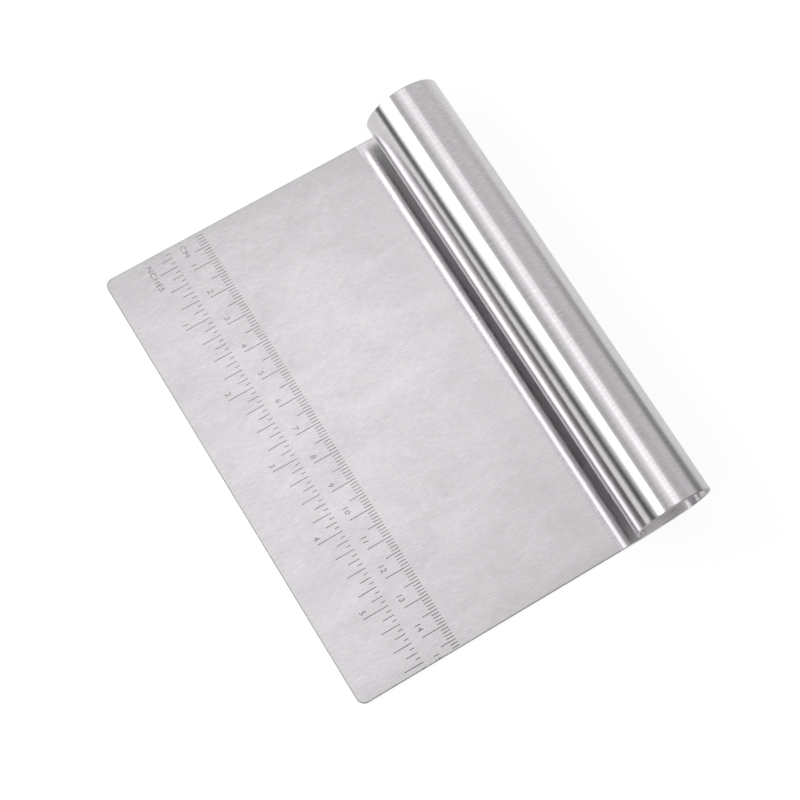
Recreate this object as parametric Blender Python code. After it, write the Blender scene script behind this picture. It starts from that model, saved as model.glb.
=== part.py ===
# Dough scraper: one sheet of steel, flat at the front as the blade, with its far end rolled over into a
# hollow handle. A ruler is etched into the blade, in centimetres and, below that, in inches.
# It lies on its back: +X runs along the handle, +Y from the scraping edge to the handle, and +Z out of the
# ruler's face. The origin is the middle of the footprint, on the plane that the blade rests on.

from math import cos, degrees, radians, sin

import bmesh
import bpy
from mathutils import Matrix, Vector

MM = 0.001

# Sheet
BLADE_WIDTH = 148.2 * MM
SHEET_THICKNESS = 0.8 * MM
FLAT_LENGTH = 93.6 * MM
CORNER_RADIUS = 2.5 * MM

# Handle, as three bends that follow on from the flat, with radii on the outside of the roll
HEEL_RADIUS = 40.0 * MM
HEEL_ANGLE = 25.5
CROWN_RADIUS = 9.0 * MM
CROWN_ANGLE = 48.0
ROLL_RADIUS = 12.33 * MM
ROLL_ANGLE = 219.0

# Lip: the free edge of the roll is folded flat against the inside of the tube
LIP_GAP = 0.7 * MM
LIP_LENGTH = 3.2 * MM

# The brushed blade ends this far before the first bend, with a fine line between it and the handle
SEAM_SETBACK = 5.6 * MM
SEAM_GAP = 0.3 * MM

# Ruler lines, with the places of their upper ends measured from the scraping edge
LINE_WIDTH = 0.24 * MM
LINE_DEPTH = 0.1 * MM
RULER_ZERO = 0.34 * MM
CM_TOP = 33.2 * MM
CM_TENTH = 1.0 * MM
CM_LENGTHS = {10: 8.1 * MM, 5: 5.0 * MM, 1: 2.5 * MM}
INCH_TOP = 21.7 * MM
INCH_SIXTEENTH = 25.4 / 16 * MM
INCH_LENGTHS = {16: 8.3 * MM, 4: 6.15 * MM, 2: 3.7 * MM, 1: 1.55 * MM}

# How finely the round stretches are divided, in degrees
BEND_STEP = 5.0
FOLD_STEP = 22.5
CORNER_STEP = 15.0
SHARP_EDGE = 40.0


def clear_scene():
    for item in list(bpy.data.objects):
        bpy.data.objects.remove(item, do_unlink=True)


def steel(name, colour, roughness):
    material = bpy.data.materials.new(name)
    material.use_nodes = True
    shader = material.node_tree.nodes["Principled BSDF"]
    shader.inputs["Base Color"].default_value = (*colour, 1.0)
    shader.inputs["Roughness"].default_value = roughness
    shader.inputs["Metallic"].default_value = 1.0
    return material


def add_object(name, shape, material):
    """Turn a finished bmesh into a named object with smooth bends and crisp edges."""
    bmesh.ops.recalc_face_normals(shape, faces=shape.faces)
    mesh = bpy.data.meshes.new(name)
    shape.to_mesh(mesh)
    shape.free()
    mesh.shade_smooth()
    mesh.set_sharp_from_angle(angle=radians(SHARP_EDGE))
    mesh.materials.append(material)
    item = bpy.data.objects.new(name, mesh)
    bpy.context.scene.collection.objects.link(item)
    return item


def extrude(outline, along):
    """A closed body from a flat outline, carried by the vector along."""
    shape = bmesh.new()
    face = shape.faces.new([shape.verts.new(point) for point in outline])
    moved = bmesh.ops.extrude_face_region(shape, geom=[face])
    far_side = [item for item in moved["geom"] if isinstance(item, bmesh.types.BMVert)]
    bmesh.ops.translate(shape, verts=far_side, vec=along)
    return shape


# Side view of the sheet. The centreline is a list of stations (y, z, heading), with the heading in radians
# from +Y towards +Z, from the scraping edge at y = 0 and the back face at z = 0.


def bend(stations, radius, angle, step):
    """Carry the centreline round a bend. A positive radius and angle turn it left, negative ones right."""
    y, z, heading = stations[-1]
    centre_y = y - radius * sin(heading)
    centre_z = z + radius * cos(heading)
    count = max(1, round(abs(angle) / step))
    for i in range(1, count + 1):
        turned = heading + radians(angle) * i / count
        stations.append((centre_y + radius * sin(turned), centre_z - radius * cos(turned), turned))


def handle_centreline():
    """Flat stub, heel, crown, roll, then the fold and the lip that runs back up inside the roll."""
    half = SHEET_THICKNESS / 2
    fold_radius = LIP_GAP / 2 + half
    lip_radius = ROLL_RADIUS - half - 2 * fold_radius
    stations = [(FLAT_LENGTH - SEAM_SETBACK, half, 0.0), (FLAT_LENGTH, half, 0.0)]
    bend(stations, HEEL_RADIUS - half, HEEL_ANGLE, BEND_STEP)
    bend(stations, CROWN_RADIUS - half, CROWN_ANGLE, BEND_STEP)
    bend(stations, ROLL_RADIUS - half, ROLL_ANGLE, BEND_STEP)
    bend(stations, fold_radius, 180.0, FOLD_STEP)
    bend(stations, -lip_radius, -degrees(LIP_LENGTH / lip_radius), BEND_STEP)
    return stations


def beside(station, distance):
    """The point at that distance to the left of a station, seen along its heading."""
    y, z, heading = station
    return y - distance * sin(heading), z + distance * cos(heading)


def handle_section():
    """Closed outline of the bent sheet: its inner face out to the lip, and its outer face back."""
    half = SHEET_THICKNESS / 2
    line = handle_centreline()
    inner = [beside(station, half) for station in line]
    outer = [beside(station, -half) for station in line]
    return inner + outer[::-1]


def make_handle(offset):
    left = -BLADE_WIDTH / 2
    outline = [(left, y + offset, z) for y, z in handle_section()]
    shape = extrude(outline, Vector((BLADE_WIDTH, 0.0, 0.0)))
    return add_object("handle", shape, steel("brushed_roll", (0.66, 0.66, 0.68), 0.25))


def blade_outline():
    """Counter-clockwise plan of the blade, with both corners of the scraping edge rounded."""
    half = BLADE_WIDTH / 2
    count = round(90.0 / CORNER_STEP)
    far_end = FLAT_LENGTH - SEAM_SETBACK - SEAM_GAP
    outline = [(half, far_end), (-half, far_end)]
    for centre_x, start in ((CORNER_RADIUS - half, 180.0), (half - CORNER_RADIUS, 270.0)):
        for i in range(count + 1):
            turned = radians(start + 90.0 * i / count)
            x = centre_x + CORNER_RADIUS * cos(turned)
            outline.append((x, CORNER_RADIUS + CORNER_RADIUS * sin(turned)))
    return outline


def ruler_cutter(name, pitch, top, lengths, offset):
    """Bars that stand in the front face, one for each line of a scale. The first entry of lengths whose
    step divides a line's number sets how long it is."""
    shape = bmesh.new()
    zero = RULER_ZERO - BLADE_WIDTH / 2
    count = int((BLADE_WIDTH - RULER_ZERO - LINE_WIDTH / 2) / pitch)
    for number in range(1, count + 1):
        length = next(lengths[step] for step in lengths if number % step == 0)
        place = (zero + number * pitch, top - length / 2 + offset, SHEET_THICKNESS)
        size = Matrix.Diagonal((LINE_WIDTH, length, 2 * LINE_DEPTH, 1.0))
        bmesh.ops.create_cube(shape, size=1.0, matrix=Matrix.Translation(place) @ size)
    cutter = add_object(name, shape, steel(name, (0.2, 0.2, 0.2), 0.6))
    cutter.hide_render = True
    cutter.display_type = "WIRE"
    return cutter


def etch(blade, cutter):
    cut = blade.modifiers.new(cutter.name, "BOOLEAN")
    cut.operation = "DIFFERENCE"
    cut.object = cutter


def make_blade(offset):
    outline = [(x, y + offset, 0.0) for x, y in blade_outline()]
    shape = extrude(outline, Vector((0.0, 0.0, SHEET_THICKNESS)))
    blade = add_object("blade", shape, steel("brushed_blade", (0.62, 0.62, 0.64), 0.35))
    etch(blade, ruler_cutter("cm_lines", CM_TENTH, CM_TOP, CM_LENGTHS, offset))
    etch(blade, ruler_cutter("inch_lines", INCH_SIXTEENTH, INCH_TOP, INCH_LENGTHS, offset))
    return blade


def main():
    clear_scene()
    depth = max(y for y, z in handle_section())
    make_blade(-depth / 2)
    make_handle(-depth / 2)


main()
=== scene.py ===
from math import radians

import bmesh
import bpy
import numpy as np
from mathutils import Matrix


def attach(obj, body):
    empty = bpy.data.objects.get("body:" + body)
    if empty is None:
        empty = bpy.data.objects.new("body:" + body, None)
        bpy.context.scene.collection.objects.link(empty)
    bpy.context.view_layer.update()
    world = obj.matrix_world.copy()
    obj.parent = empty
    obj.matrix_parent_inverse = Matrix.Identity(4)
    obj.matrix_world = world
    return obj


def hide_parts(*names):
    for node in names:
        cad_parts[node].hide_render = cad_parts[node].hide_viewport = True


mm = 0.001

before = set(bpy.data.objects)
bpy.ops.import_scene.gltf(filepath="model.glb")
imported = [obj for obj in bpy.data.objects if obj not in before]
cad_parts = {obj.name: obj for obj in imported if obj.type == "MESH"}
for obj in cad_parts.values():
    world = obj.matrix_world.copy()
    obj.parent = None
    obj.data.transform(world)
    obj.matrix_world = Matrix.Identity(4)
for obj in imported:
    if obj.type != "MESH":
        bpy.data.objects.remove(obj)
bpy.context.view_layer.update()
bpy.context.scene.view_settings.view_transform = "Standard"
bpy.context.scene.cycles.glossy_bounces = 10  # the lip and the plate below it mirror each other many times
print("frame loaded:", sorted(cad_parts))


def meshPiece(name, points, faces, material, smooth=True):
    mesh = bpy.data.meshes.new(name)
    mesh.from_pydata(points.tolist(), [], faces.tolist())
    mesh.polygons.foreach_set("use_smooth", np.full(len(faces), smooth))
    mesh.materials.append(material)
    mesh.validate()
    mesh.update()
    piece = bpy.data.objects.new(name, mesh)
    bpy.context.scene.collection.objects.link(piece)
    return piece


def pointValues(piece, name, values):
    mark = piece.data.attributes.new(name, "FLOAT", "POINT")
    mark.data.foreach_set("value", values.astype(np.float32))


def gridCells(rows, columns):
    # the corners of each cell of a grid whose points are numbered row by row
    cell = (np.arange(rows - 1)[:, None] * columns + np.arange(columns - 1)[None, :]).ravel()
    return np.stack([cell, cell + 1, cell + columns + 1, cell + columns], -1)


def gridBorder(rows, columns):
    # row and column of each point on a grid's border: along the first row, up the last column, and back
    up, along = np.arange(rows - 1), np.arange(columns - 1)
    lastRow, lastColumn = rows - 1, columns - 1
    i = np.concatenate([along * 0, up, along * 0 + lastRow, lastRow - up])
    j = np.concatenate([along, up * 0 + lastColumn, lastColumn - along, up * 0])
    return i, j


def node(tree, kind, **values):
    made = tree.nodes.new(kind)
    for key, value in values.items():
        setattr(made, key, value)
    return made


def attributeValue(tree, name):
    return node(tree, "ShaderNodeAttribute", attribute_name=name).outputs["Fac"]


def ranged(tree, source, before, after):
    # carries the range before over to the range after: its sockets are From Min, From Max, To Min and To Max
    made = node(tree, "ShaderNodeMapRange")
    for slot, value in zip(list(made.inputs)[1:5], before + after):
        slot.default_value = value
    tree.links.new(source, made.inputs["Value"])
    return made.outputs["Result"]


def maths(tree, kind, *values):
    made = node(tree, "ShaderNodeMath", operation=kind)
    for slot, value in zip(made.inputs, values):
        if isinstance(value, float):
            slot.default_value = value
        else:
            tree.links.new(value, slot)
    return made.outputs["Value"]


def scaledColour(tree, colour, share):
    made = node(tree, "ShaderNodeVectorMath", operation="SCALE")
    made.inputs[0].default_value = colour
    tree.links.new(share, made.inputs["Scale"])
    return made.outputs["Vector"]


# The sheet, unrolled: s runs along it from the scraping edge, x across it, t through its thickness.

sheet = {
    "width": 148.2 * mm,
    "thickness": 0.8 * mm,
    "depth": 116.078 * mm,  # from the scraping edge to the far side of the roll
    "flat": 93.6 * mm,
    "cornerRadius": 2.5 * mm,
    "edgeRound": 0.16 * mm,
    "seam": 87.85 * mm,  # where the blade's finish ends and the handle's begins
    "heel": (40.0 * mm, 25.5),  # bends as outside radius and angle
    "crown": (9.0 * mm, 48.0),
    "roll": (12.33 * mm, 219.0),
    "lipGap": 0.7 * mm,
    "lipLength": 3.2 * mm,
    "sharpEdge": 40.0,  # faces that meet at more than this angle keep a crisp edge
}

# how finely its mesh is divided
sheetGrid = {
    "flatStep": 6 * mm,
    "bendStep": 2.0,  # degrees of a bend from row to row
    "columns": 25,
    "cornerPoints": 13,
    "rimPoints": 5,
    "nearEnd": 0.25 * mm,  # a row this far from each end keeps the rim's shading off the face
    "nearSide": 0.9965,  # and a column at this share of the half width
    "clearOfEnds": (0.5 * mm, 0.35 * mm),  # the rows between stay this far from the first row and the last
    "touch": 0.01 * mm,  # what lies closer than this to a place counts as being there
}


def sheetBends():
    # length and signed curvature of each stretch of the middle of the sheet, from the scraping edge on:
    # an arc of radius R that turns through an angle is R times the angle long, with a curvature of 1 / R
    half = sheet["thickness"] / 2
    foldRadius = sheet["lipGap"] / 2 + half
    lipRadius = sheet["roll"][0] - half - 2 * foldRadius
    stretches = [(sheet["flat"], 0.0)]
    for name in ("heel", "crown", "roll"):
        radius, angle = sheet[name]
        stretches.append(((radius - half) * radians(angle), 1 / (radius - half)))
    stretches.append((foldRadius * np.pi, 1 / foldRadius))
    stretches.append((sheet["lipLength"], -1 / lipRadius))
    return stretches


sheetStretches = sheetBends()
sheetLength = sum(length for length, turn in sheetStretches)


def sheetPoint(x, s, t):
    # Along s the middle line turns by curvature k times the run r of a stretch, so each stretch adds the
    # chord of its own arc: dy = (sin(h + r k) - sin h) / k and dz = (cos h - cos(h + r k)) / k, with h the
    # heading so far. Then t goes along the normal.
    heading = np.zeros_like(s)
    y = np.full_like(s, -sheet["depth"] / 2)
    z = np.full_like(s, sheet["thickness"] / 2)
    start = 0.0
    for length, turn in sheetStretches:
        run = np.clip(s - start, 0.0, length)
        if turn == 0.0:
            y += run * np.cos(heading)
            z += run * np.sin(heading)
        else:
            y += (np.sin(heading + run * turn) - np.sin(heading)) / turn
            z += (np.cos(heading) - np.cos(heading + run * turn)) / turn
            heading = heading + run * turn
        start += length
    return np.stack([x, y - t * np.sin(heading), z + t * np.cos(heading)], -1)


def sheetRows(first, last):
    # stations along s: an even angle apart in the bends, and a fixed length apart on the flat
    rows = [np.arange(first, min(last, sheet["flat"]), sheetGrid["flatStep"])]
    start = 0.0
    for length, turn in sheetStretches:
        if turn != 0.0:
            count = int(np.ceil(length * abs(turn) / radians(sheetGrid["bendStep"]))) + 1
            rows.append(np.linspace(start, start + length, count))
        start += length
    rows = np.unique(np.round(np.concatenate(rows), 7))
    afterFirst, beforeLast = sheetGrid["clearOfEnds"]
    return rows[(rows > first + afterFirst) & (rows < last - beforeLast)]


def rimProfile():
    # the rounded rim, from the front's border to the back's, as two quarter circles of radius r: each point
    # is drawn in by r - r sin a and lies at h - r + r cos a in the thickness
    half, rim = sheet["thickness"] / 2, sheet["edgeRound"]
    turn = np.radians(np.linspace(0.0, 90.0, sheetGrid["rimPoints"]))
    drawnIn = rim - rim * np.sin(turn)
    height = half - rim + rim * np.cos(turn)
    return np.concatenate([drawnIn, drawnIn[::-1]])[1:-1], np.concatenate([height, -height[::-1]])[1:-1]


def sheetPiece(name, first, last, look):
    # Two grids, for the front and the back, and a ring of rounded rim between their borders. Each point lies
    # on the plan (x, s), drawn in from the border by d: at the scraping edge the corners are quarter
    # circles, s = d + (R - d)(1 - cos a), x = W - R + (R - d) sin a, and elsewhere x = W - d.
    width, radius, rim = sheet["width"] / 2, sheet["cornerRadius"], sheet["edgeRound"]
    half = sheet["thickness"] / 2
    edgeAtFirst, edgeAtLast = first == 0.0, last == sheetLength
    angle = np.array([np.pi / 2])
    if edgeAtFirst:
        angle = np.radians(np.linspace(0.0, 90.0, sheetGrid["cornerPoints"]))
        first = radius
    nearEnd = sheetGrid["nearEnd"]
    rows = np.concatenate([[first, first + nearEnd], sheetRows(first, last), [last - nearEnd, last]])
    cornerTurn = np.concatenate([angle, np.full(len(rows) - 1, np.pi / 2)])
    stations = np.concatenate([np.full(len(angle), first), rows[1:]])
    isCorner = np.arange(len(stations)) < len(angle)
    across = np.linspace(-1.0, 1.0, sheetGrid["columns"])
    nearSide = sheetGrid["nearSide"]
    across = np.concatenate([[-1.0, -nearSide], across[1:-1], [nearSide, 1.0]])

    def plan(i, j, d):
        s = stations[i]
        reach = width - d
        if edgeAtFirst:
            s = np.where(isCorner[i], d + (radius - d) * (1 - np.cos(cornerTurn[i])), s)
            reach = np.where(isCorner[i], width - radius + (radius - d) * np.sin(cornerTurn[i]), reach)
        if edgeAtLast:
            s = np.where(i == len(stations) - 1, s - d, s)
        return across[j] * reach, s

    gridI, gridJ = np.divmod(np.arange(len(stations) * len(across)), len(across))
    gridX, gridS = plan(gridI, gridJ, rim)
    borderI, borderJ = gridBorder(len(stations), len(across))
    rimIn, rimHeight = rimProfile()
    count, around = len(gridX), len(borderI)
    ringI, ringJ = np.tile(borderI, len(rimIn)), np.tile(borderJ, len(rimIn))
    ringX, ringS = plan(ringI, ringJ, np.repeat(rimIn, around))
    x = np.concatenate([gridX, gridX, ringX])
    s = np.concatenate([gridS, gridS, ringS])
    t = np.concatenate([np.full(count, half), np.full(count, -half), np.repeat(rimHeight, around)])

    front = gridCells(len(stations), len(across))
    back = front[:, ::-1] + count
    border = borderI * len(across) + borderJ
    ring = 2 * count + np.arange(len(ringX)).reshape(len(rimIn), around)
    loops = np.concatenate([[border], ring, [border + count]])
    corner = [loops[:-1], loops[1:], np.roll(loops[1:], -1, axis=1), np.roll(loops[:-1], -1, axis=1)]
    faces = np.concatenate([front, back, np.stack(corner, -1).reshape(-1, 4)])
    piece = meshPiece(name, sheetPoint(x, s, t), faces, brushedSteel(name + "Steel", look))
    piece.data.set_sharp_from_angle(angle=radians(sheet["sharpEdge"]))
    uv = piece.data.uv_layers.new(name="sheetPlan")
    corners = np.empty(len(piece.data.loops), np.int32)
    piece.data.loops.foreach_get("vertex_index", corners)
    uv.data.foreach_set("uv", np.stack([x[corners], s[corners]], -1).astype(np.float32).ravel())
    isRim = np.isin(np.arange(len(x)), loops)
    pointValues(piece, "finishShare", finishShare(s, t, look))
    pointValues(piece, "rimShare", rimShare(x, s, isRim))
    # the painted sheen over the blade's middle and the painted shade along its sides
    pointValues(piece, "polishTone", polishTone(x, s, look))
    return piece


def finishShare(s, t, look):
    # share of the second finish: it grows along the sheet, on both walls or only on the inner one
    start, end = look["change"]
    return np.clip((s - start) / (end - start), 0.0, 1.0) * ((t > 0.0) | look["bothWalls"])


def rimShare(x, s, isRim):
    # share of sheared edge: 1 on the rim and the borders of both faces, less at the seam, and less on the
    # left, which paints that edge lighter
    reach = sheet["edgeRound"] + sheetGrid["touch"]
    share = np.where(np.abs(s - sheet["seam"]) < reach, rimLook["seamShare"], 1.0)
    share = np.where(x < reach - sheet["width"] / 2, share * rimLook["leftPaintedLightShare"], share)
    return share * isRim


def polishTone(x, s, look):
    # painted sheen and painted shade on the blade: 1 + strength (hill - 1/2) - fall exp(-side / reach), a
    # painted highlight over its middle and painted shade along its sides, where the hill is exp(-(dx /
    # reachX)^2 - (ds / reachS)^2)
    strength, middle, reach = look["paintedSheenHill"]
    fall, fallReach = look["paintedSideShade"]
    hill = np.exp(-((x - middle[0]) / reach[0]) ** 2 - ((s - middle[1]) / reach[1]) ** 2)
    return 1.0 + strength * (hill - 0.5) - fall * np.exp(-(sheet["width"] / 2 - np.abs(x)) / fallReach)


# Finishes

steelTint = (0.625, 0.616, 0.625)

# each pair is the open blade and then its end next to the handle
bladeLook = {
    "level": (0.97, 0.92),
    "roughness": (0.31, 0.25),
    "hairDepth": (0.12, 0.06),  # how much the hairlines and the patches change the level
    "patchDepth": (0.10, 0.06),
    "hairRough": 0.06,  # how much the hairlines change the roughness
    "groove": 0.05,  # strength of their bump
    "anisotropy": 1.0,
    "change": (78.0 * mm, 87.85 * mm),  # where along the sheet the first finish turns into the second
    "bothWalls": True,
    "hairSize": (0.34 * mm, 2.6 * mm),  # across the sheet and along it
    "patchSize": (9.0 * mm, 22.0 * mm),
    # a painted highlight, a broad soft sheen over the blade's middle: its strength, its middle and how far
    # it reaches, across the sheet and along it
    "paintedSheenHill": (0.20, (-15.0 * mm, 64.0 * mm), (60.0 * mm, 60.0 * mm)),
    "paintedSideShade": (0.08, 6.0 * mm),  # painted shade: how much darker the sides are, and over what distance
}

# each pair is the handle's outside and then the wall inside the roll
handleLook = {
    "level": (1.0, 1.31),
    "roughness": (0.206, 0.28),
    "hairDepth": (0.10, 0.10),
    "patchDepth": (0.03, 0.05),
    "hairRough": 0.06,
    "groove": 0.09,
    "anisotropy": 0.864,
    "change": (97.0 * mm, 102.0 * mm),
    "bothWalls": False,
    "hairSize": (0.27 * mm, 2.7 * mm),
    "patchSize": (11.0 * mm, 15.0 * mm),
    "paintedSheenHill": (0.0, (0.0, 64.0 * mm), (60.0 * mm, 60.0 * mm)),
    "paintedSideShade": (0.0, 6.0 * mm),
}

# the sheared edges are darker and duller than the faces, only faintly at the seam, and less so on the left,
# a painted lighter edge there
rimLook = {
    "dark": 0.30,
    "dull": 0.12,
    "seamShare": 0.07,
    "leftPaintedLightShare": 0.30,
}

# both noises of the steel, as detail, roughness and distortion
steelNoise = {
    "hair": (3.0, 0.55, 0.0),  # hairlines of the brushing belt, drawn out along the sheet
    "patch": (5.0, 0.70, 0.4),  # cloudy patches left by handling and by the mill
    "span": (0.25, 0.75),  # the part of a noise's own range that is spread over -1 to 1
    "patchRough": 0.04,  # how much the patches change the roughness
    "grooveDepth": 0.02 * mm,
}


def sheetNoise(tree, plan, kind, size):
    # noise whose cells have the given size, across the sheet and along it, from about -1 to 1
    detail, roughness, distortion = steelNoise[kind]
    place = node(tree, "ShaderNodeMapping", vector_type="TEXTURE")
    place.inputs["Scale"].default_value = (size[0], size[1], 1.0)
    noise = node(tree, "ShaderNodeTexNoise", noise_dimensions="2D")
    noise.inputs["Scale"].default_value = 1.0
    noise.inputs["Detail"].default_value = detail
    noise.inputs["Roughness"].default_value = roughness
    noise.inputs["Distortion"].default_value = distortion
    tree.links.new(plan.outputs["UV"], place.inputs["Vector"])
    tree.links.new(place.outputs["Vector"], noise.inputs["Vector"])
    return ranged(tree, noise.outputs["Fac"], steelNoise["span"], (-1.0, 1.0))


def brushedSteel(name, look):
    # steel whose highlights are drawn out across its hairlines. Its colour is the tint times the level,
    # times 1 + depth x noise for the hairlines and for the patches, times the painted sheen and side shade,
    # and times the rim's tone.
    material = bpy.data.materials.new(name)
    material.use_nodes = True
    tree = material.node_tree
    shader = tree.nodes["Principled BSDF"]
    link = tree.links.new
    plan = node(tree, "ShaderNodeUVMap", uv_map="sheetPlan")
    tangent = node(tree, "ShaderNodeTangent", direction_type="UV_MAP", uv_map="sheetPlan")
    share = attributeValue(tree, "finishShare")
    edge = attributeValue(tree, "rimShare")
    sheenAndSideShade = attributeValue(tree, "polishTone")
    link(tangent.outputs["Tangent"], shader.inputs["Tangent"])

    def overShare(pair):
        return ranged(tree, share, (0.0, 1.0), pair)

    def times(first, second):
        return maths(tree, "MULTIPLY", first, second)

    def plusOne(first, second):
        return maths(tree, "MULTIPLY_ADD", first, second, 1.0)

    hair = sheetNoise(tree, plan, "hair", look["hairSize"])
    patch = sheetNoise(tree, plan, "patch", look["patchSize"])
    hairShade = plusOne(hair, overShare(look["hairDepth"]))
    patchShade = plusOne(patch, overShare(look["patchDepth"]))
    rimShade = plusOne(edge, -rimLook["dark"])
    shade = times(times(hairShade, patchShade), overShare(look["level"]))
    # the painted sheen and the painted side shade go into the colour here
    shade = times(times(shade, sheenAndSideShade), rimShade)
    link(scaledColour(tree, steelTint, shade), shader.inputs["Base Color"])

    patchSwing, hairSwing = steelNoise["patchRough"], look["hairRough"]
    patchRough = ranged(tree, patch, (-1.0, 1.0), (1.0 - patchSwing, 1.0 + patchSwing))
    hairRough = ranged(tree, hair, (-1.0, 1.0), (1.0 - hairSwing, 1.0 + hairSwing))
    faceRough = times(times(overShare(look["roughness"]), patchRough), hairRough)
    link(maths(tree, "MULTIPLY_ADD", edge, rimLook["dull"], faceRough), shader.inputs["Roughness"])

    bump = node(tree, "ShaderNodeBump")
    bump.inputs["Strength"].default_value = look["groove"]
    bump.inputs["Distance"].default_value = steelNoise["grooveDepth"]
    link(hair, bump.inputs["Height"])
    link(bump.outputs["Normal"], shader.inputs["Normal"])

    shader.inputs["Metallic"].default_value = 1.0
    shader.inputs["Anisotropic"].default_value = look["anisotropy"]
    return material


marksLook = {
    "colour": (0.235, 0.229, 0.237),
    "wornColour": (0.47, 0.458, 0.473),
    "shade": (1.22, 0.62),  # at a place right of the middle and at the right end: the marks get darker towards the right end
    "shadePlaces": (5.0 * mm, 74.0 * mm),
    "fade": 0.20,  # how much the wear lightens and darkens the marks
    "wearScale": 450.0,
    "wearDetail": 3.0,
    "wearSpan": (0.3, 0.7),
    "roughness": 0.55,
    "metallic": 0.6,
    "proud": 0.012 * mm,  # how far the slabs stand out of the blade's face, and how deep they go
    "sunk": 0.05 * mm,
}


def etchedGrey(name, colour):
    # a dull grey, lighter and darker with the wear, and darker towards the right end
    look = marksLook
    material = bpy.data.materials.new(name)
    material.use_nodes = True
    tree = material.node_tree
    shader = tree.nodes["Principled BSDF"]
    link = tree.links.new
    place = node(tree, "ShaderNodeTexCoord")
    wear = node(tree, "ShaderNodeTexNoise")
    wear.inputs["Scale"].default_value = look["wearScale"]
    wear.inputs["Detail"].default_value = look["wearDetail"]
    apart = node(tree, "ShaderNodeSeparateXYZ")
    link(place.outputs["Object"], wear.inputs["Vector"])
    link(place.outputs["Object"], apart.inputs["Vector"])
    fading = ranged(tree, wear.outputs["Fac"], look["wearSpan"], (1 - look["fade"], 1 + look["fade"]))
    ends = ranged(tree, apart.outputs["X"], look["shadePlaces"], look["shade"])
    shade = maths(tree, "MULTIPLY", fading, ends)
    link(scaledColour(tree, colour, shade), shader.inputs["Base Color"])
    shader.inputs["Roughness"].default_value = look["roughness"]
    shader.inputs["Metallic"].default_value = look["metallic"]
    return material


markGrey = etchedGrey("etchedGrey", marksLook["colour"])
wornGrey = etchedGrey("wornGrey", marksLook["wornColour"])

blade = sheetPiece("bladeSheet", 0.0, sheet["seam"], bladeLook)
handle = sheetPiece("handleRoll", sheet["seam"], sheetLength, handleLook)
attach(blade, "root")
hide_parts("blade")
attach(handle, "root")
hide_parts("handle")
print("sheet made:", len(blade.data.polygons), "and", len(handle.data.polygons), "faces")


# The ruler: lines first, then numerals and letters, all from the sheet's left end and scraping edge.

ruler = {
    "zero": 0.34 * mm,
    "lineWidth": 0.24 * mm,
    "cm": 10 * mm,
    "cmTenth": 1.0 * mm,
    "cmTop": 33.2 * mm,
    "cmLengths": {10: 8.1 * mm, 5: 5.0 * mm, 1: 2.5 * mm},
    "cmNumerals": 15,  # the last one has lost its line to the blade's end
    "inch": 25.4 * mm,
    "inchSixteenth": 25.4 / 16 * mm,
    "inchTop": 21.7 * mm,
    "inchLengths": {16: 8.3 * mm, 4: 6.15 * mm, 2: 3.7 * mm, 1: 1.55 * mm},
    "inchNumerals": 5,
}


def rulerLines(name, pitch, top, lengths):
    # one thin bar for each line, at zero + number times pitch, and as long as the number's step says
    count = int((sheet["width"] - ruler["zero"] - ruler["lineWidth"] / 2) / pitch)
    number = np.arange(1, count + 1)
    length = np.select([number % step == 0 for step in lengths], list(lengths.values()))
    x = ruler["zero"] + number * pitch - sheet["width"] / 2
    half = ruler["lineWidth"] / 2
    yTop = top - sheet["depth"] / 2
    low, high = sheet["thickness"] - marksLook["sunk"], sheet["thickness"] + marksLook["proud"]
    xs = np.stack([x - half, x + half, x + half, x - half] * 2, -1)
    ys = np.stack([yTop - length, yTop - length, np.full(count, yTop), np.full(count, yTop)] * 2, -1)
    zs = np.tile([low] * 4 + [high] * 4, (count, 1))
    points = np.stack([xs, ys, zs], -1).reshape(-1, 3)
    box = np.array([[3, 2, 1, 0], [4, 5, 6, 7], [0, 1, 5, 4], [1, 2, 6, 5], [2, 3, 7, 6], [3, 0, 4, 7]])
    faces = (box[None] + 8 * np.arange(count)[:, None, None]).reshape(-1, 4)
    return meshPiece(name, points, faces, markGrey, smooth=False)


lettering = {
    "height": 1.76 * mm,
    "slant": 0.07,
    "spacing": 1.08,
    "curveSteps": 4,
    "slab": 0.5,  # any thickness will do, because each slab is then moved to its own two heights
    "merge": 0.002 * mm,
    "cmFoot": 25.0 * mm,
    "inchFoot": 13.25 * mm,
    # where each numeral's middle lies to the left of its line
    "narrowDigit": 1.5 * mm,
    "oneDigit": 1.8 * mm,
    "twoDigits": 2.85 * mm,
}


def letteringMesh(words):
    # points and faces of slanted letters as thin slabs, each set at middle + (x - half) times its own scale;
    # a word is (text, middle x, foot y, width or None)
    points, faces, count = [], [], 0
    for text, middle, foot, width in words:
        curve = bpy.data.curves.new("word", "FONT")
        curve.body = text
        curve.shear = lettering["slant"]
        curve.space_character = lettering["spacing"]
        curve.extrude = lettering["slab"]
        curve.resolution_u = lettering["curveSteps"]
        word = bpy.data.objects.new("word", curve)
        bpy.context.scene.collection.objects.link(word)
        bpy.context.view_layer.update()
        mesh = word.evaluated_get(bpy.context.evaluated_depsgraph_get()).to_mesh()
        flat = np.empty(len(mesh.vertices) * 3)
        mesh.vertices.foreach_get("co", flat)
        flat = flat.reshape(-1, 3)
        low, high = flat.min(0), flat.max(0)
        size = lettering["height"] / (high[1] - low[1])
        wide = size if width is None else width / (high[0] - low[0])
        x = middle + (flat[:, 0] - (low[0] + high[0]) / 2) * wide - sheet["width"] / 2
        y = foot + (flat[:, 1] - low[1]) * size - sheet["depth"] / 2
        z = np.where(flat[:, 2] > 0, marksLook["proud"], -marksLook["sunk"]) + sheet["thickness"]
        points.append(np.stack([x, y, z], -1))
        faces += [[count + i for i in polygon.vertices] for polygon in mesh.polygons]
        count += len(flat)
        bpy.data.objects.remove(word)
        bpy.data.curves.remove(curve)
    return np.concatenate(points), faces


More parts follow.
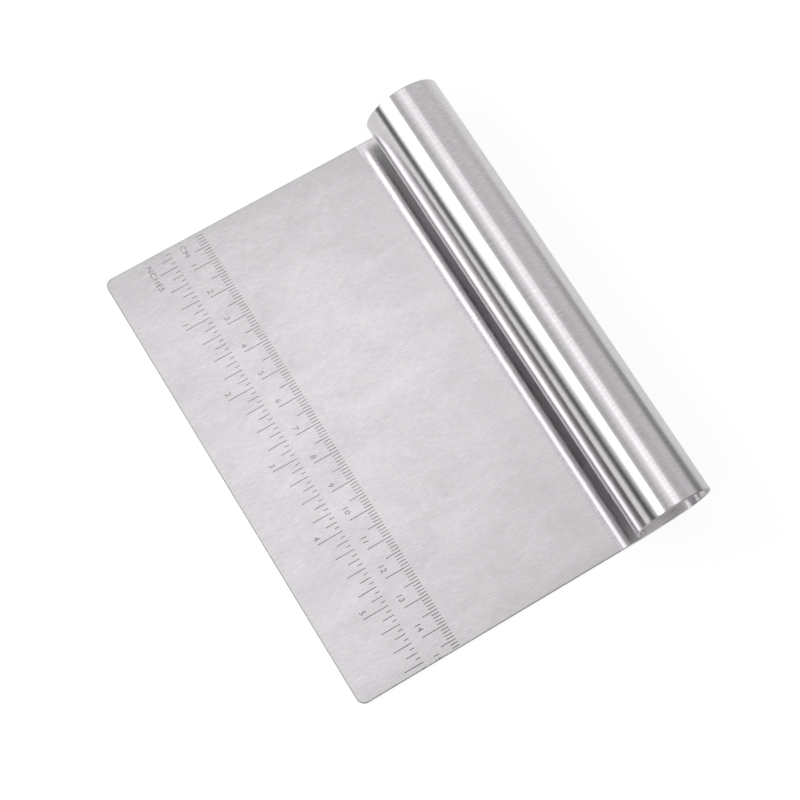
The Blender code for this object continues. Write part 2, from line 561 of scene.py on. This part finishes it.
def letteringPiece(name, words, material):
    points, faces = letteringMesh(words)
    shape = bmesh.new()
    for point in points:
        shape.verts.new(point)
    shape.verts.ensure_lookup_table()
    for face in faces:
        shape.faces.new([shape.verts[i] for i in face])
    bmesh.ops.remove_doubles(shape, verts=shape.verts, dist=lettering["merge"])
    # the last numeral runs off the sheet's edge, so it is cut there
    limit = sheet["width"] / 2 - sheet["edgeRound"]
    everything = shape.verts[:] + shape.edges[:] + shape.faces[:]
    plane = {"plane_co": (limit, 0, 0), "plane_no": (1, 0, 0)}
    cut = bmesh.ops.bisect_plane(shape, geom=everything, clear_outer=True, **plane)
    rim = [item for item in cut["geom_cut"] if isinstance(item, bmesh.types.BMEdge)]
    if rim:
        bmesh.ops.holes_fill(shape, edges=rim)
    bmesh.ops.recalc_face_normals(shape, faces=shape.faces)
    mesh = bpy.data.meshes.new(name)
    shape.to_mesh(mesh)
    shape.free()
    mesh.materials.append(material)
    piece = bpy.data.objects.new(name, mesh)
    bpy.context.scene.collection.objects.link(piece)
    return piece


def numerals(count, pitch, foot):
    # the words for 1 to count, each set back from its line by a distance that goes by its width
    words = []
    for number in range(1, count + 1):
        kind = "oneDigit" if number < 10 else "twoDigits"
        if number == 1:
            kind = "narrowDigit"
        words.append((str(number), ruler["zero"] + number * pitch - lettering[kind], foot, None))
    return words


cmWords = numerals(ruler["cmNumerals"], ruler["cm"], lettering["cmFoot"])
inchWords = numerals(ruler["inchNumerals"], ruler["inch"], lettering["inchFoot"])

# text, middle, foot and width, from the sheet's left end and the scraping edge
unitWords = [
    ("CM", 3.6 * mm, 24.75 * mm, 4.05 * mm),
    ("NCHES", 6.85 * mm, 12.9 * mm, 8.85 * mm),
]
wornWords = [("I", 1.85 * mm, 12.9 * mm, None)]  # the first letter of INCHES is nearly rubbed away

markPieces = [
    rulerLines("centimetreLines", ruler["cmTenth"], ruler["cmTop"], ruler["cmLengths"]),
    rulerLines("inchLines", ruler["inchSixteenth"], ruler["inchTop"], ruler["inchLengths"]),
    letteringPiece("centimetreNumerals", cmWords, markGrey),
    letteringPiece("inchNumerals", inchWords, markGrey),
    letteringPiece("unitLetters", unitWords, markGrey),
    letteringPiece("wornLetter", wornWords, wornGrey),
]
for piece in markPieces:
    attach(piece, "root")
print("ruler made:", [piece.name for piece in markPieces])


# The studio: a pale floor, a white world, and a light tent with soft and bright strips and dark flags.

paleGround = {
    "half": 5.0,  # metres
    "lines": 141,
    "drop": 0.0003,
    "shadow": 0.11,  # its own grey and its glow as the camera sees them
    "white": 0.90,
    "mirrored": 0.82,  # its grey as the steel mirrors it, lit by the tent, and its glow
    "mirroredGlow": 0.13,
    # painted shade on the floor as the steel mirrors it, not as the camera sees it: behind the handle it
    # falls off to the level of the tent's foot: where that starts, over what distance, and how much sooner
    # it starts towards the right
    "fallOff": (0.20, 0.28, 2.5),
    "behind": 0.06,
    # what the two ends of the roll mirror there: y of the roll's far side, then for each end its x and by
    # how much that grows with y
    "farSide": 0.054,
    "leftEnd": (-0.066, -0.36),
    "rightEnd": (0.066, -0.14),
    "narrowest": 0.01,
}

tentLook = {
    "radius": 1.4,
    "axis": (0.0457, 0.013),  # y and z
    "tint": (1.009, 0.988, 1.009),  # the light is faintly violet
    "rows": 361,
    "columns": 131,
    "leftPlace": -0.56,
    "rightPlace": -0.12,
    # each strip's angle from +Y towards +Z, at the left place and at the right place, and its level at both
    "stops": [
        (0.0, 0.0, 0.98, 0.30),
        (5.0, 5.0, 0.91, 0.18),
        (11.0, 11.0, 0.83, 0.20),
        (17.0, 17.0, 0.79, 0.37),
        (25.0, 25.0, 0.80, 0.72),
        (40.0, 40.0, 0.83, 0.76),
        (56.0, 56.0, 0.82, 0.62),
        (66.0, 66.0, 0.82, 0.66),
        (72.0, 72.0, 0.86, 0.84),
        (77.0, 77.0, 1.36, 1.54),
        (82.0, 82.0, 1.20, 1.40),
        (86.0, 86.0, 1.36, 1.74),
        (91.0, 91.0, 1.38, 1.60),
        (97.0, 97.0, 1.14, 1.02),
        (104.0, 104.0, 0.95, 0.90),
        (112.0, 112.0, 0.66, 0.60),
        (121.0, 121.0, 0.66, 0.56),
        (123.8, 124.6, 1.20, 1.00),
        (127.4, 128.6, 4.00, 3.20),
        (136.0, 136.0, 4.60, 4.20),
        (143.0, 140.0, 3.60, 3.00),
        (151.0, 144.0, 2.60, 0.85),
        (160.0, 150.0, 1.90, 0.22),
        (165.0, 156.0, 0.58, 0.05),
        (169.0, 163.0, 0.13, 0.04),
        (177.0, 168.5, 0.12, 0.22),
        (180.0, 173.0, 0.22, 0.85),
        (181.0, 181.0, 0.30, 1.30),
    ],
    # share of those levels along X: the tent's two ends are dark
    "along": [(-4.0, 0.35), (-1.6, 0.35), (-1.1, 1.0), (0.5, 1.0), (0.9, 0.45), (2.5, 0.45)],
}

# a card that stands against the roll's left end
card = {
    "level": 0.34,
    "radius": 11.9 * mm,
    "gap": 0.2 * mm,
    "below": 24.0,  # how far it reaches below the roll's middle, in degrees
    "points": 60,
}


def emission(name, strength=1.0, attribute=None):
    material = bpy.data.materials.new(name)
    material.use_nodes = True
    tree = material.node_tree
    tree.nodes.clear()
    out = node(tree, "ShaderNodeOutputMaterial")
    glow = node(tree, "ShaderNodeEmission")
    glow.inputs["Strength"].default_value = strength
    if attribute:
        read = node(tree, "ShaderNodeAttribute", attribute_name=attribute)
        tree.links.new(read.outputs["Color"], glow.inputs["Color"])
    tree.links.new(glow.outputs["Emission"], out.inputs["Surface"])
    return material


def lightTent():
    # half a cylinder round the handle: (x, yAxis + R cos a, zAxis + R sin a) for a from 0 to 180 degrees
    angle = np.linspace(0.0, 180.0, tentLook["rows"])
    alongX, alongShare = np.array(tentLook["along"]).T
    x = np.linspace(alongX[0], alongX[-1], tentLook["columns"])
    radius, (yAxis, zAxis) = tentLook["radius"], tentLook["axis"]
    aa, xx = np.meshgrid(np.radians(angle), x, indexing="ij")
    points = np.stack([xx, yAxis + radius * np.cos(aa), zAxis + radius * np.sin(aa)], -1).reshape(-1, 3)
    faces = gridCells(len(angle), len(x))
    # each strip's level: its own at the left place, its own at the right place, and a mix of both between
    stops = np.array(tentLook["stops"])
    share = np.clip((x - tentLook["leftPlace"]) / (tentLook["rightPlace"] - tentLook["leftPlace"]), 0.0, 1.0)
    level = np.empty((len(angle), len(x)))
    for column, part in enumerate(share):
        places = stops[:, 0] * (1 - part) + stops[:, 1] * part
        levels = stops[:, 2] * (1 - part) + stops[:, 3] * part
        level[:, column] = np.interp(angle, places, levels) * np.interp(x[column], alongX, alongShare)
    tent = meshPiece("lightTent", points, faces, emission("tentLight", attribute="tentColour"))
    colour = np.concatenate([level[..., None] * tentLook["tint"], np.ones(level.shape + (1,))], -1)
    mark = tent.data.attributes.new("tentColour", "FLOAT_COLOR", "POINT")
    mark.data.foreach_set("color", colour.astype(np.float32).ravel())
    tent.visible_camera = False


def paleFloor():
    # a grid whose lines lie at half c^3 for even steps of c, so that its cells are small near the scraper
    ground = paleGround
    place = ground["half"] * np.linspace(-1.0, 1.0, ground["lines"]) ** 3
    xx, yy = np.meshgrid(place, place, indexing="ij")
    points = np.stack([xx, yy, np.full_like(xx, -ground["drop"])], -1).reshape(-1, 3)
    faces = gridCells(len(place), len(place))[:, [0, 3, 2, 1]]  # so that they face up
    floor = meshPiece("paleFloor", points, faces, floorPaint(), smooth=False)
    # painted shade behind the handle, not seen by the camera: 1 - (1 - foot) step, where foot is the level
    # at the tent's foot in the direction in which the steel mirrors this place, and step goes from 0 to 1
    # with y + slope x
    start, reach, slope = ground["fallOff"]
    past = yy - ground["farSide"]
    toLeft = ground["leftEnd"][0] + ground["leftEnd"][1] * past
    toRight = ground["rightEnd"][0] + ground["rightEnd"][1] * past
    share = np.clip((xx - toLeft) / np.maximum(toRight - toLeft, ground["narrowest"]), 0.0, 1.0)
    leftFoot, rightFoot = tentLook["stops"][0][2:]
    foot = leftFoot * (1 - share) + rightFoot * share
    step = np.clip((yy + slope * xx - start) / reach, 0.0, 1.0) * (yy > ground["behind"])
    tone = 1.0 - (1.0 - foot) * step * step * (3.0 - 2.0 * step)
    pointValues(floor, "mirroredPaintedShade", tone.ravel())


def floorPaint():
    material = bpy.data.materials.new("paleFloor")
    material.use_nodes = True
    tree = material.node_tree
    tree.nodes.clear()
    out = node(tree, "ShaderNodeOutputMaterial")
    soft = node(tree, "ShaderNodeBsdfDiffuse")
    glow = node(tree, "ShaderNodeEmission")
    rays = node(tree, "ShaderNodeLightPath")
    # the painted shade behind the handle, on the floor as the steel mirrors it
    tone = attributeValue(tree, "mirroredPaintedShade")
    both = node(tree, "ShaderNodeAddShader")
    link = tree.links.new
    # from the floor that the steel mirrors to the one that the camera sees. The sockets of a mix of colours
    # are 0 for its factor, 6 and 7 for the two colours, and output 2 for the result.
    for mirrored, seen, slot in (
        (paleGround["mirrored"], paleGround["shadow"], soft.inputs["Color"]),
        (paleGround["mirroredGlow"], paleGround["white"], glow.inputs["Color"]),
    ):
        toned = scaledColour(tree, (mirrored, mirrored, mirrored), tone)
        mixed = node(tree, "ShaderNodeMix", data_type="RGBA")
        link(rays.outputs["Is Camera Ray"], mixed.inputs[0])
        link(toned, mixed.inputs[6])
        mixed.inputs[7].default_value = (seen, seen, seen, 1.0)
        link(mixed.outputs[2], slot)
    link(soft.outputs["BSDF"], both.inputs[0])
    link(glow.outputs["Emission"], both.inputs[1])
    link(both.outputs["Shader"], out.inputs["Surface"])
    return material


def endCard():
    # keeps the light out of the roll's left end: it is the upper part of the roll's own outline,
    # (y + R cos a, z + R sin a)
    yAxis, zAxis = tentLook["axis"]
    angle = np.radians(np.linspace(180.0 + card["below"], -card["below"], card["points"]))
    y = yAxis + card["radius"] * np.cos(angle)
    z = zAxis + card["radius"] * np.sin(angle)
    x = np.full_like(y, -sheet["width"] / 2 - card["gap"])
    outline = np.stack([x, y, z], -1)
    face = np.arange(len(outline))[None, :]
    piece = meshPiece("endCard", outline, face, emission("cardGrey", card["level"]), smooth=False)
    piece.visible_camera = False


def whiteWorld():
    world = bpy.data.worlds.new("whiteWorld")
    world.use_nodes = True
    back = world.node_tree.nodes["Background"]
    back.inputs["Color"].default_value = (1.0, 1.0, 1.0, 1.0)
    back.inputs["Strength"].default_value = 1.0
    bpy.context.scene.world = world


lightTent()
paleFloor()
endCard()
whiteWorld()
print("studio made")


# the view's place and its own axes, found from the ruler's lines and the blade's edges
camera = {
    "lens": 94.905,  # in millimetres, as the frame is
    "frame": 36.0,
    "shift": (0.0635, -0.0054),
    "nearest": 0.01,
    "place": (0.15072, -0.12792, 0.59091),
    "right": (0.51707, 0.85547, 0.02847),
    "up": (-0.81778, 0.48392, 0.31155),
    "back": (0.25275, -0.18437, 0.94980),
}


def placeCamera():
    data = bpy.data.cameras.new("camera")
    data.sensor_width = camera["frame"]
    data.lens = camera["lens"]
    data.shift_x, data.shift_y = camera["shift"]
    data.clip_start = camera["nearest"]
    view = bpy.data.objects.new("camera", data)
    turn = Matrix([camera["right"], camera["up"], camera["back"]]).transposed().to_4x4()
    view.matrix_world = Matrix.Translation(camera["place"]) @ turn
    bpy.context.scene.collection.objects.link(view)
    bpy.context.scene.camera = view


placeCamera()

bpy.context.view_layer.update()
